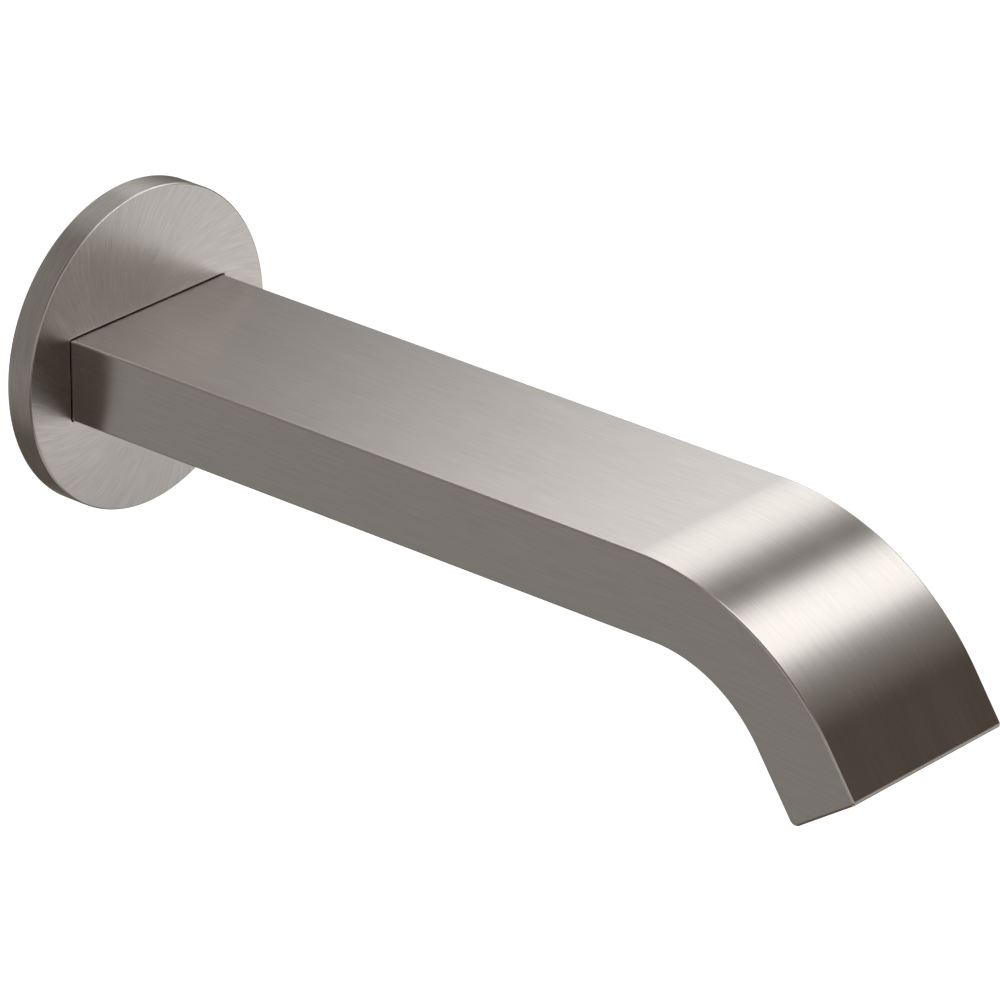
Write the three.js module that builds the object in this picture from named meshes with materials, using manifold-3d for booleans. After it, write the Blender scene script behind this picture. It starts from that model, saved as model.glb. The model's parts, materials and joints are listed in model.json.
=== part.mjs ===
// Wall-mounted bath spout: a flat rectangular arm that turns down at its end, on a round escutcheon.
// Millimetres, +Z up. The wall is the plane Y = 0, the arm points towards -Y, and the origin is the
// centre of the escutcheon's back, on the axis of the supply pipe.

import * as THREE from "three";
import { mergeVertices } from "three/addons/utils/BufferGeometryUtils.js";
import Module from "manifold-3d";

const wasm = await Module();
wasm.setup();

// ---- Driving dimensions -------------------------------------------------------------------------

const GAP = 0.3; // clearance between neighbouring pieces
const WINDOW_GAP = 0.4; // shadow gap around the arm where it leaves the escutcheon
const CUT = 2; // how far a cutting solid runs past the face that it cuts

const ARM_WIDTH = 45.7;
const ARM_HEIGHT = 18;
const ARM_WALL = 1.8;
const ARM_EDGE = 0.5; // easing of the long edges
const ARM_ROOT_Y = -0.8;
const BEND_CORNER_Y = -183.3; // where the arm's two straight centre lines would cross
const BEND_ANGLE = THREE.MathUtils.degToRad(56.5);
const BEND_TOP_RADIUS = 58.6;
const BEND_UNDER_RADIUS = 31.5;
const TIP_LENGTH = 38.6; // from that crossing to the mouth, along the centre line
const MOUTH_FRONT_RADIUS = 0.8;
const MOUTH_BACK_RADIUS = 1.6;

const ESCUTCHEON_RADIUS = 35;
const ESCUTCHEON_DEPTH = 6.4;
const ESCUTCHEON_WALL = 1.6;
const ESCUTCHEON_EDGE = 0.4;

const GASKET_INNER_RADIUS = 27.2;
const GASKET_OUTER_RADIUS = 31.6;
const GASKET_DEPTH = 1.8;
const GRIP_SECTION = 1.4;

const SHANK_RADIUS = 10.45; // half-inch pipe thread
const SHANK_LENGTH = 16;
const SHANK_SHOULDER_Y = 0.2;
const THREAD_PITCH = 1.814;
const THREAD_DEPTH = 1.1;
const NOSE_RADIUS = 5.7;
const NOSE_LENGTH = 33.5;
const SUPPLY_BORE_RADIUS = 3.4;
const KEY_ACROSS_FLATS = 7;
const KEY_DEPTH = 10;

const O_RING_SECTION_RADIUS = 0.6;
const O_RING_GAP = 0.15;
const O_RING_GROOVE_RADIUS = 4.5;
const O_RING_GROOVE_WIDTH = 1.8;
const O_RING_YS = { rear: -26.4, front: -30.4 };

const SET_SCREW_RADIUS = 2;
const SET_SCREW_KEY = 2;
const SET_SCREW_KEY_DEPTH = 1.6;
const SET_SCREW_SUNK = 0.4; // how far the screw's outer end lies inside the arm's underside
const SET_SCREW_TIP_GAP = 0.2; // between the screw's tip and the adapter's nose
const SET_SCREW_YS = { rear: -12, front: -20 };

const COLLAR_BACK_Y = -1.1;
const COLLAR_LENGTH = 44;
const COLLAR_BORE_END_Y = -34.5;
const COLLAR_PASSAGE_RADIUS = 4.4;
const TUBE_RADIUS = 5;
const TUBE_WALL = 1;
const TUBE_BEND_RADIUS = 38;
const TUBE_SOCKET_DEPTH = 7;
const CLIP_YS = { rear: -82, front: -128 };
const CLIP_LENGTH = 6;
const CLIP_WIDTH = 17;

const MOUTH_RECESS = 0.8; // the outlet frame's face lies this far inside the mouth
const FRAME_DEPTH = 8;
const FRAME_WALL = 2.6;
const FRAME_LIP = 1;
const SEAL_DEPTH = 1.5;
const MANIFOLD_DEPTH = 7;
const MANIFOLD_CHAMBER_DEPTH = 2.4;
const MANIFOLD_LEDGE = 1.2;
const GRID_DEPTH = 4;
const GRID_WALL = 0.6;
const GRID_CELLS = [10, 2];
const SCREEN_DEPTH = 0.4;
const SCREEN_HOLE = 1.5;
const SCREEN_HOLES = [13, 3];

// ---- Sizes worked out from them -----------------------------------------------------------------

const CAVITY_WIDTH = ARM_WIDTH - 2 * ARM_WALL;
const CAVITY_HEIGHT = ARM_HEIGHT - 2 * ARM_WALL;
const COLLAR_WIDTH = CAVITY_WIDTH - 2 * GAP;
const COLLAR_HEIGHT = CAVITY_HEIGHT - 2 * GAP;
const FRAME_WIDTH = CAVITY_WIDTH - 2 * GAP;
const FRAME_HEIGHT = CAVITY_HEIGHT - 2 * GAP;
const FRAME_INSIDE = [FRAME_WIDTH - 2 * FRAME_WALL, FRAME_HEIGHT - 2 * FRAME_WALL];
const INSERT_SIZE = [FRAME_INSIDE[0] - 2 * GAP, FRAME_INSIDE[1] - 2 * GAP];
const TIP_TILT = BEND_ANGLE - Math.PI / 2; // turns +Z from straight up to straight into the mouth
const MOUTH_Y = BEND_CORNER_Y - TIP_LENGTH * Math.cos(BEND_ANGLE);
const MOUTH_Z = -TIP_LENGTH * Math.sin(BEND_ANGLE);

// ---- Solids -------------------------------------------------------------------------------------

function solid(geometry) {
  const bare = geometry.index ? geometry.toNonIndexed() : geometry.clone();
  bare.deleteAttribute("normal");
  bare.deleteAttribute("uv");
  const merged = mergeVertices(bare, 1e-4);
  const mesh = new wasm.Mesh({
    numProp: 3,
    vertProperties: new Float32Array(merged.attributes.position.array),
    triVerts: new Uint32Array(merged.index.array),
  });
  return new wasm.Manifold(mesh);
}

function geometryOf(manifold) {
  const mesh = manifold.getMesh();
  const geometry = new THREE.BufferGeometry();
  geometry.setAttribute("position", new THREE.BufferAttribute(mesh.vertProperties, 3));
  geometry.setIndex(new THREE.BufferAttribute(mesh.triVerts, 1));
  geometry.computeVertexNormals();
  return geometry;
}

function cut(body, ...tools) {
  return tools.reduce((left, tool) => left.subtract(tool), body);
}

function box(size, centre) {
  return solid(new THREE.BoxGeometry(...size).translate(...centre));
}

// A cylinder, or with six sides a hexagonal prism, between two points on a line along the axis.
function rod(axis, radius, from, to, across = [0, 0], sides = 36) {
  const geometry = new THREE.CylinderGeometry(radius, radius, Math.abs(to - from), sides);
  const middle = (from + to) / 2;
  if (axis === "y") {
    geometry.translate(across[0], middle, across[1]);
  } else {
    geometry.rotateX(Math.PI / 2).translate(across[0], across[1], middle);
  }
  return solid(geometry);
}

function hexagonRadius(acrossFlats) {
  return acrossFlats / Math.sqrt(3);
}

// A body turned about the Y axis. The profile is a list of [radius, y] that runs towards +Y on the
// outside and closes on itself, or starts and ends on the axis.
function turned(profile, sides = 72) {
  const points = profile.map(([radius, y]) => new THREE.Vector2(radius, y));
  return solid(new THREE.LatheGeometry(points, sides));
}

function roundedRectangle(width, height, radius) {
  const x = width / 2;
  const y = height / 2;
  return filleted([
    [x, -y, radius],
    [x, y, radius],
    [-x, y, radius],
    [-x, -y, radius],
  ]);
}

// A closed outline through the corners [x, y, fillet radius], in counterclockwise order.
function filleted(corners) {
  const shape = new THREE.Shape();
  corners.forEach(([x, y, radius], i) => {
    const here = new THREE.Vector2(x, y);
    const [fromX, fromY] = corners.at(i - 1);
    const [toX, toY] = corners[(i + 1) % corners.length];
    const arriving = new THREE.Vector2(x - fromX, y - fromY).normalize();
    const leaving = new THREE.Vector2(toX - x, toY - y).normalize();
    const turn = Math.atan2(arriving.cross(leaving), arriving.dot(leaving));
    const side = Math.sign(turn);
    const start = here.clone().addScaledVector(arriving, -radius * Math.tan(Math.abs(turn) / 2));
    if (i === 0) {
      shape.moveTo(start.x, start.y);
    } else {
      shape.lineTo(start.x, start.y);
    }
    if (radius > 0) {
      const centreX = start.x - side * radius * arriving.y;
      const centreY = start.y + side * radius * arriving.x;
      const first = Math.atan2(start.y - centreY, start.x - centreX);
      shape.absarc(centreX, centreY, radius, first, first + turn, side < 0);
    }
  });
  shape.closePath();
  return shape;
}

// Extrudes an outline drawn in X and Z along -Y, from one Y to a lower one.
function plate(shape, fromY, toY, curveSegments = 6) {
  const options = { depth: fromY - toY, bevelEnabled: false, curveSegments };
  const geometry = new THREE.ExtrudeGeometry(shape, options);
  return solid(geometry.rotateX(Math.PI / 2).translate(0, fromY, 0));
}

// Extrudes a side profile drawn in Y and Z across the width, with its long edges rounded.
function acrossWidth(shape, width, edge, curveSegments) {
  const geometry = new THREE.ExtrudeGeometry(shape, {
    depth: width - 2 * edge,
    curveSegments,
    bevelEnabled: edge > 0,
    bevelThickness: edge,
    bevelSize: edge,
    bevelOffset: -edge,
    bevelSegments: 2,
  });
  geometry.translate(0, 0, edge - width / 2);
  const toWorld = new THREE.Matrix4().makeBasis(
    new THREE.Vector3(0, 1, 0),
    new THREE.Vector3(0, 0, 1),
    new THREE.Vector3(1, 0, 0),
  );
  return solid(geometry.applyMatrix4(toWorld));
}

// ---- The arm ------------------------------------------------------------------------------------

// The arm's side profile, drawn in by an inset and run on past both of its ends.
function armProfile(inset, past, frontRadius, backRadius) {
  const half = ARM_HEIGHT / 2 - inset;
  const shift = half * Math.tan(BEND_ANGLE / 2);
  const end = TIP_LENGTH + past;
  const endY = BEND_CORNER_Y - end * Math.cos(BEND_ANGLE);
  const endZ = -end * Math.sin(BEND_ANGLE);
  const outY = -half * Math.sin(BEND_ANGLE);
  const outZ = half * Math.cos(BEND_ANGLE);
  return filleted([
    [ARM_ROOT_Y + past, half, 0],
    [BEND_CORNER_Y - shift, half, BEND_TOP_RADIUS - inset],
    [endY + outY, endZ + outZ, frontRadius],
    [endY - outY, endZ - outZ, backRadius],
    [BEND_CORNER_Y + shift, -half, BEND_UNDER_RADIUS + inset],
    [ARM_ROOT_Y + past, -half, 0],
  ]);
}

function setScrewHoles() {
  const bottom = -ARM_HEIGHT / 2 - CUT;
  return Object.values(SET_SCREW_YS).map((y) => rod("z", SET_SCREW_RADIUS + GAP, bottom, 0, [0, y], 24));
}

function spoutArm() {
  const skin = armProfile(0, 0, MOUTH_FRONT_RADIUS, MOUTH_BACK_RADIUS);
  const hollow = armProfile(ARM_WALL, CUT, 0, 0);
  const body = acrossWidth(skin, ARM_WIDTH, ARM_EDGE, 22);
  return cut(body, acrossWidth(hollow, CAVITY_WIDTH, 0, 12), ...setScrewHoles());
}

// A block in the arm's root with the socket for the adapter's nose and one for the water tube.
function inletCollar() {
  const frontY = COLLAR_BACK_Y - COLLAR_LENGTH;
  const block = box(
    [COLLAR_WIDTH, COLLAR_LENGTH, COLLAR_HEIGHT],
    [0, (COLLAR_BACK_Y + frontY) / 2, 0],
  );
  const noseBore = rod("y", NOSE_RADIUS + GAP, COLLAR_BACK_Y + CUT, COLLAR_BORE_END_Y);
  const passage = rod("y", COLLAR_PASSAGE_RADIUS, COLLAR_BACK_Y, frontY - CUT);
  const tubeSocket = rod("y", TUBE_RADIUS + GAP, frontY + TUBE_SOCKET_DEPTH, frontY - CUT);
  return cut(block, noseBore, passage, tubeSocket, ...setScrewHoles());
}

function waterwayTube() {
  const startY = COLLAR_BACK_Y - COLLAR_LENGTH + TUBE_SOCKET_DEPTH - GAP;
  const endPastCorner = TIP_LENGTH - MOUTH_RECESS - FRAME_DEPTH - SEAL_DEPTH - 2 * GAP
    - MANIFOLD_CHAMBER_DEPTH - MANIFOLD_LEDGE - GAP;
  const tangent = TUBE_BEND_RADIUS * Math.tan(BEND_ANGLE / 2);
  const bendY = BEND_CORNER_Y + tangent;
  const alongTip = (distance) => new THREE.Vector3(
    0,
    BEND_CORNER_Y - distance * Math.cos(BEND_ANGLE),
    -distance * Math.sin(BEND_ANGLE),
  );
  const path = new THREE.CurvePath();
  path.add(new THREE.LineCurve3(new THREE.Vector3(0, startY, 0), new THREE.Vector3(0, bendY, 0)));
  path.add(new BendCurve(bendY, TUBE_BEND_RADIUS, BEND_ANGLE));
  path.add(new THREE.LineCurve3(alongTip(tangent), alongTip(endPastCorner)));
  const ring = new THREE.Shape().absarc(0, 0, TUBE_RADIUS, 0, 2 * Math.PI);
  ring.holes.push(new THREE.Path().absarc(0, 0, TUBE_RADIUS - TUBE_WALL, 0, 2 * Math.PI, true));
  return solid(new THREE.ExtrudeGeometry(ring, { steps: 30, curveSegments: 10, extrudePath: path }));
}

// The tube's bend: an arc in the YZ plane that starts level at a given Y and turns down.
class BendCurve extends THREE.Curve {
  constructor(startY, radius, angle) {
    super();
    this.startY = startY;
    this.radius = radius;
    this.angle = angle;
  }

  getPoint(t, target = new THREE.Vector3()) {
    const turn = t * this.angle;
    const down = this.radius * (Math.cos(turn) - 1);
    return target.set(0, this.startY - this.radius * Math.sin(turn), down);
  }
}

// A split block that keeps the tube in the middle of the hollow arm.
function tubeClip(y) {
  const block = box([CLIP_WIDTH, CLIP_LENGTH, COLLAR_HEIGHT], [0, y, 0]);
  const hole = rod("y", TUBE_RADIUS + GAP, y - CLIP_LENGTH, y + CLIP_LENGTH);
  const split = box([TUBE_RADIUS, CLIP_LENGTH + CUT, COLLAR_HEIGHT], [0, y, COLLAR_HEIGHT / 2]);
  return cut(block, hole, split);
}

// ---- The supply adapter and its rings -----------------------------------------------------------

function supplyAdapter() {
  const endY = SHANK_SHOULDER_Y + SHANK_LENGTH;
  const root = SHANK_RADIUS - THREAD_DEPTH;
  const profile = [
    [0, -NOSE_LENGTH],
    [NOSE_RADIUS - GAP, -NOSE_LENGTH],
    [NOSE_RADIUS, -NOSE_LENGTH + GAP],
    [NOSE_RADIUS, SHANK_SHOULDER_Y],
    [root, SHANK_SHOULDER_Y],
    [SHANK_RADIUS, SHANK_SHOULDER_Y + THREAD_DEPTH],
  ];
  const turns = Math.floor((SHANK_LENGTH - 2 * THREAD_DEPTH) / THREAD_PITCH);
  for (let i = 0; i < turns; i += 1) {
    const crestY = SHANK_SHOULDER_Y + THREAD_DEPTH + i * THREAD_PITCH;
    profile.push([root, crestY + THREAD_PITCH / 2], [SHANK_RADIUS, crestY + THREAD_PITCH]);
  }
  profile.push([root, endY], [0, endY]);

  const grooves = Object.values(O_RING_YS).map(oRingGroove);
  const bore = rod("y", SUPPLY_BORE_RADIUS, -NOSE_LENGTH - CUT, endY + CUT);
  const keyRadius = hexagonRadius(KEY_ACROSS_FLATS);
  const key = rod("y", keyRadius, -NOSE_LENGTH - CUT, -NOSE_LENGTH + KEY_DEPTH, [0, 0], 6);
  return cut(turned(profile, 36), bore, key, ...grooves);
}

// A ring that cuts an O-ring's groove round the adapter's nose.
function oRingGroove(y) {
  const half = O_RING_GROOVE_WIDTH / 2;
  return turned([
    [O_RING_GROOVE_RADIUS, y - half],
    [NOSE_RADIUS + CUT, y - half],
    [NOSE_RADIUS + CUT, y + half],
    [O_RING_GROOVE_RADIUS, y + half],
    [O_RING_GROOVE_RADIUS, y - half],
  ], 36);
}

function oRing(y) {
  const radius = O_RING_GROOVE_RADIUS + O_RING_GAP + O_RING_SECTION_RADIUS;
  const geometry = new THREE.TorusGeometry(radius, O_RING_SECTION_RADIUS, 8, 32);
  return solid(geometry.rotateX(Math.PI / 2).translate(0, y, 0));
}

function setScrew(y) {
  const outerZ = -ARM_HEIGHT / 2 + SET_SCREW_SUNK;
  const tipZ = -NOSE_RADIUS - SET_SCREW_TIP_GAP;
  const body = rod("z", SET_SCREW_RADIUS, outerZ, tipZ, [0, y], 24);
  const keyRadius = hexagonRadius(SET_SCREW_KEY);
  return cut(body, rod("z", keyRadius, outerZ - CUT, outerZ + SET_SCREW_KEY_DEPTH, [0, y], 6));
}

// ---- The escutcheon -----------------------------------------------------------------------------

function armWindow(gap, fromY, toY) {
  const shape = roundedRectangle(ARM_WIDTH + 2 * gap, ARM_HEIGHT + 2 * gap, ARM_EDGE + gap);
  return plate(shape, fromY, toY);
}

function escutcheonShell() {
  const outer = ESCUTCHEON_RADIUS;
  const inner = ESCUTCHEON_RADIUS - ESCUTCHEON_WALL;
  const shell = turned([
    [0, -ESCUTCHEON_DEPTH],
    [outer - ESCUTCHEON_EDGE, -ESCUTCHEON_DEPTH],
    [outer, -ESCUTCHEON_DEPTH + ESCUTCHEON_EDGE],
    [outer, 0],
    [inner, 0],
    [inner, -ESCUTCHEON_DEPTH + ESCUTCHEON_WALL],
    [0, -ESCUTCHEON_DEPTH + ESCUTCHEON_WALL],
  ], 96);
  return cut(shell, armWindow(WINDOW_GAP, CUT, -ESCUTCHEON_DEPTH - CUT));
}

// The moulded ring inside the shell. It carries the wall gasket in its back, and in its window the
// rubber loop that grips the arm.
function escutcheonCarrier() {
  const backY = -GAP;
  const frontY = -ESCUTCHEON_DEPTH + ESCUTCHEON_WALL + GAP;
  const disc = rod("y", ESCUTCHEON_RADIUS - ESCUTCHEON_WALL - GAP, backY, frontY, [0, 0], 72);
  const pocket = turned([
    [GASKET_INNER_RADIUS - GAP, -GASKET_DEPTH - GAP],
    [GASKET_OUTER_RADIUS + GAP, -GASKET_DEPTH - GAP],
    [GASKET_OUTER_RADIUS + GAP, CUT],
    [GASKET_INNER_RADIUS - GAP, CUT],
    [GASKET_INNER_RADIUS - GAP, -GASKET_DEPTH - GAP],
  ]);
  const middleY = gripMiddleY();
  const half = GRIP_SECTION / 2 + GAP;
  const gripPocket = armWindow(2 * GAP + GRIP_SECTION, middleY + half, middleY - half);
  return cut(disc, pocket, armWindow(WINDOW_GAP, CUT, frontY - CUT), gripPocket);
}

function gripMiddleY() {
  return (-ESCUTCHEON_DEPTH + ESCUTCHEON_WALL) / 2 - GAP / 2;
}

function gripRing() {
  const fromY = gripMiddleY() + GRIP_SECTION / 2;
  const toY = gripMiddleY() - GRIP_SECTION / 2;
  const loop = armWindow(GAP + GRIP_SECTION, fromY, toY);
  return cut(loop, armWindow(GAP, fromY + CUT, toY - CUT));
}

function wallGasket() {
  return turned([
    [GASKET_INNER_RADIUS, -GASKET_DEPTH],
    [GASKET_OUTER_RADIUS, -GASKET_DEPTH],
    [GASKET_OUTER_RADIUS, 0],
    [GASKET_INNER_RADIUS, 0],
    [GASKET_INNER_RADIUS, -GASKET_DEPTH],
  ]);
}

// ---- The outlet, drawn about the middle of the mouth with +Z into the arm -----------------------

const frameTop = MOUTH_RECESS + FRAME_DEPTH;
const sealTop = frameTop + GAP + SEAL_DEPTH;

function slab(size, bottom, top) {
  return box([size[0], size[1], top - bottom], [0, 0, (bottom + top) / 2]);
}

function outletFrame() {
  const body = slab([FRAME_WIDTH, FRAME_HEIGHT], MOUTH_RECESS, frameTop);
  const inside = slab(FRAME_INSIDE, MOUTH_RECESS + FRAME_LIP, frameTop + CUT);
  const window = slab(FRAME_INSIDE.map((side) => side - 2 * FRAME_LIP), MOUTH_RECESS - CUT, frameTop);
  return cut(body, inside, window);
}

function outletSeal() {
  const body = slab([FRAME_WIDTH, FRAME_HEIGHT], frameTop + GAP, sealTop);
  return cut(body, slab(FRAME_INSIDE, frameTop - CUT, sealTop + CUT));
}

// A plate with a rectangular field of square-cornered holes.
function pierced(size, bottom, top, counts, hole) {
  const pitch = counts.map((count, i) => (size[i] - GRID_WALL) / count);
  const holes = [];
  for (let i = 0; i < counts[0]; i += 1) {
    for (let j = 0; j < counts[1]; j += 1) {
      const x = (i - (counts[0] - 1) / 2) * pitch[0];
      const y = (j - (counts[1] - 1) / 2) * pitch[1];
      const middle = (bottom + top) / 2;
      holes.push(box([hole[0], hole[1], top - bottom + CUT], [x, y, middle]));
    }
  }
  return cut(slab(size, bottom, top), ...holes);
}

function flowStraightener() {
  const bottom = MOUTH_RECESS + FRAME_LIP + GAP;
  const hole = INSERT_SIZE.map((side, i) => (side - GRID_WALL) / GRID_CELLS[i] - GRID_WALL);
  return pierced(INSERT_SIZE, bottom, bottom + GRID_DEPTH, GRID_CELLS, hole);
}

function screen(level) {
  const gridTop = MOUTH_RECESS + FRAME_LIP + GAP + GRID_DEPTH;
  const bottom = gridTop + GAP + level * (SCREEN_DEPTH + GAP);
  return pierced(INSERT_SIZE, bottom, bottom + SCREEN_DEPTH, SCREEN_HOLES, [SCREEN_HOLE, SCREEN_HOLE]);
}

// Spreads the water from the round tube over the width of the mouth.
function outletManifold() {
  const bottom = sealTop + GAP;
  const top = bottom + MANIFOLD_DEPTH;
  const ledge = bottom + MANIFOLD_CHAMBER_DEPTH;
  const body = slab([FRAME_WIDTH, FRAME_HEIGHT - 2 * GAP], bottom, top);
  const chamber = slab(FRAME_INSIDE, bottom - CUT, ledge);
  const passage = rod("z", TUBE_RADIUS - TUBE_WALL, bottom, top);
  const socket = rod("z", TUBE_RADIUS + GAP, ledge + MANIFOLD_LEDGE, top + CUT);
  return cut(body, chamber, passage, socket);
}

// ---- Assembly -----------------------------------------------------------------------------------

const LOOKS = {
  nickel: { color: 0x9a948c, roughness: 0.34, metalness: 1 },
  brass: { color: 0xb08d4c, roughness: 0.35, metalness: 1 },
  copper: { color: 0xb2704c, roughness: 0.4, metalness: 1 },
  steel: { color: 0x8c8d90, roughness: 0.4, metalness: 1 },
  rubber: { color: 0x1c1c1d, roughness: 0.8, metalness: 0 },
  foam: { color: 0x2b2b2d, roughness: 0.95, metalness: 0 },
  plastic: { color: 0xd9d7d0, roughness: 0.5, metalness: 0 },
};

function add(parent, name, body, look) {
  const material = new THREE.MeshStandardMaterial({ name: look, ...LOOKS[look] });
  const mesh = new THREE.Mesh(geometryOf(body), material);
  mesh.name = name;
  parent.add(mesh);
}

const spout = new THREE.Group();

add(spout, "supply_adapter", supplyAdapter(), "brass");
add(spout, "inlet_collar", inletCollar(), "brass");
add(spout, "spout_arm", spoutArm(), "nickel");
add(spout, "waterway_tube", waterwayTube(), "copper");
for (const [place, y] of Object.entries(O_RING_YS)) {
  add(spout, `adapter_o_ring_${place}`, oRing(y), "rubber");
}
for (const [place, y] of Object.entries(SET_SCREW_YS)) {
  add(spout, `set_screw_${place}`, setScrew(y), "steel");
}
for (const [place, y] of Object.entries(CLIP_YS)) {
  add(spout, `tube_clip_${place}`, tubeClip(y), "plastic");
}

add(spout, "escutcheon", escutcheonShell(), "nickel");
add(spout, "escutcheon_carrier", escutcheonCarrier(), "plastic");
add(spout, "escutcheon_grip_ring", gripRing(), "rubber");
add(spout, "wall_gasket", wallGasket(), "foam");

const outlet = new THREE.Group();
outlet.position.set(0, MOUTH_Y, MOUTH_Z);
outlet.rotation.x = TIP_TILT;
spout.add(outlet);

add(outlet, "outlet_frame", outletFrame(), "plastic");
add(outlet, "outlet_seal", outletSeal(), "rubber");
add(outlet, "flow_straightener", flowStraightener(), "plastic");
add(outlet, "screen_lower", screen(0), "steel");
add(outlet, "screen_upper", screen(1), "steel");
add(outlet, "outlet_manifold", outletManifold(), "plastic");

export default spout;
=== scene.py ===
"""Looks of a wall-mounted bath spout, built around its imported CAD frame.

Metres, +Z up. The wall is the plane Y = 0 and the arm points towards -Y. Each piece is modelled
where the frame has it, so that its own coordinates are the frame's coordinates at rest.
"""

import json
from math import atan2, ceil, cos, log, pi, radians, sin, sqrt, tan

import bmesh
import bpy
from mathutils import Matrix, Vector

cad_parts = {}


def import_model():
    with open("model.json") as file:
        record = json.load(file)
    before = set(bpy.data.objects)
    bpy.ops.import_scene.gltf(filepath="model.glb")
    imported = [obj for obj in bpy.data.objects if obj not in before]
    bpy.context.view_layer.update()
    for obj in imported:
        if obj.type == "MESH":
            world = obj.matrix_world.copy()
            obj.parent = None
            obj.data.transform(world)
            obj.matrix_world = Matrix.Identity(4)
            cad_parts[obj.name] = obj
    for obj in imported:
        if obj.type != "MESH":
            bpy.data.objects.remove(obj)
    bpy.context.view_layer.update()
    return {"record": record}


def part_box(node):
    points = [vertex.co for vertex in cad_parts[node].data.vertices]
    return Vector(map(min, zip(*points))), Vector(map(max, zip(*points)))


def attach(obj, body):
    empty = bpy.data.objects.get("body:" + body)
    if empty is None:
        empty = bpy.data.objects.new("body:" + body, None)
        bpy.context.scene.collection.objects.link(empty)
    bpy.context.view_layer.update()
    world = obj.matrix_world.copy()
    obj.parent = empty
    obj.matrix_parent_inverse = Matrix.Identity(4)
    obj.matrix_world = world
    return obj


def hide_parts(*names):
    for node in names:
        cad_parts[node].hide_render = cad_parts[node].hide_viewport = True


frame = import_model()

MM = 0.001

# ---- Sizes from the frame ----


def mount(name):
    return next(m for m in frame["record"]["mounts"] if m["name"] == name)


arm_low, arm_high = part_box("spout_arm")
ARM_HALF_WIDTH = arm_high.x
ARM_HALF_HEIGHT = arm_high.z
ARM_ROOT = arm_high.y
MOUTH_OUT = Vector(mount("outlet_rim")["axis"]).normalized()
MOUTH = Vector((0, *mount("outlet_rim")["pos_m"][1:]))
BEND_ANGLE = atan2(-MOUTH_OUT.z, -MOUTH_OUT.y)
TIP_LENGTH = -MOUTH.z / sin(BEND_ANGLE)
BEND_CORNER = MOUTH.y + TIP_LENGTH * cos(BEND_ANGLE)

# ---- Sizes of the finished surfaces ----

ARM_WALL = 1.8 * MM
ARM_EDGE = 0.5 * MM
ARM_ROOT_EDGE = 0.4 * MM
BEND_TOP_RADIUS = 58.6 * MM
BEND_UNDER_RADIUS = 31.5 * MM
MOUTH_FRONT_RADIUS = 0.8 * MM
MOUTH_BACK_RADIUS = 1.6 * MM
CAVITY_FILLET = 0.6 * MM
CAVITY_PAST = 2 * MM  # how far the cavity's cutting solid runs past both ends of the arm

FACE_EDGE = 0.4 * MM
FACE_BACK_EDGE = 0.15 * MM
FACE_WALL = 1.6 * MM
WINDOW_GAP = 0.22 * MM
WINDOW_EDGE = 0.3 * MM

# ---- Mesh helpers ----

WELD_DISTANCE = 0.0001 * MM
SHARP_ANGLE = radians(32)


class Patches:
    """Collects grids of quads, each with its own UV, and welds them into one mesh."""

    def __init__(self):
        self.bm = bmesh.new()
        self.uv = self.bm.loops.layers.uv.new("brush")

    def face(self, corners, uvs):
        face = self.bm.faces.new([self.bm.verts.new(corner) for corner in corners])
        for loop, uv in zip(face.loops, uvs):
            loop[self.uv].uv = uv

    def grid(self, points, uvs):
        for i in range(len(points) - 1):
            for j in range(len(points[i]) - 1):
                cells = [(i, j), (i + 1, j), (i + 1, j + 1), (i, j + 1)]
                self.face([points[a][b] for a, b in cells], [uvs[a][b] for a, b in cells])

    def finish(self, name):
        bmesh.ops.remove_doubles(self.bm, verts=self.bm.verts, dist=WELD_DISTANCE)
        bmesh.ops.dissolve_degenerate(self.bm, dist=WELD_DISTANCE, edges=self.bm.edges)
        bmesh.ops.recalc_face_normals(self.bm, faces=self.bm.faces)
        mesh = bpy.data.meshes.new(name)
        self.bm.to_mesh(mesh)
        self.bm.free()
        obj = bpy.data.objects.new(name, mesh)
        bpy.context.scene.collection.objects.link(obj)
        return obj


def cut(obj, *tools):
    """Takes the tools' solids out of an object and removes the tools."""
    for tool in tools:
        modifier = obj.modifiers.new("cut", "BOOLEAN")
        modifier.object = tool
        modifier.operation = "DIFFERENCE"
        modifier.solver = "MANIFOLD"
    bpy.context.view_layer.update()
    evaluated = obj.evaluated_get(bpy.context.evaluated_depsgraph_get())
    rough = obj.data
    obj.data = bpy.data.meshes.new_from_object(evaluated)
    obj.data.name = obj.name
    obj.modifiers.clear()
    bpy.data.meshes.remove(rough)
    for tool in tools:
        bpy.data.meshes.remove(tool.data)
    return obj


def smooth(obj):
    """Smooth shading that keeps the creases sharp and the flat faces flat."""
    obj.data.shade_smooth()
    obj.data.set_sharp_from_angle(angle=SHARP_ANGLE)
    weighted = obj.modifiers.new("weighted", "WEIGHTED_NORMAL")
    weighted.keep_sharp = True
    return obj


def arc(start, end, steps):
    """Evenly spaced values from start to end, both included."""
    return [start + (end - start) * i / steps for i in range(steps + 1)]


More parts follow.
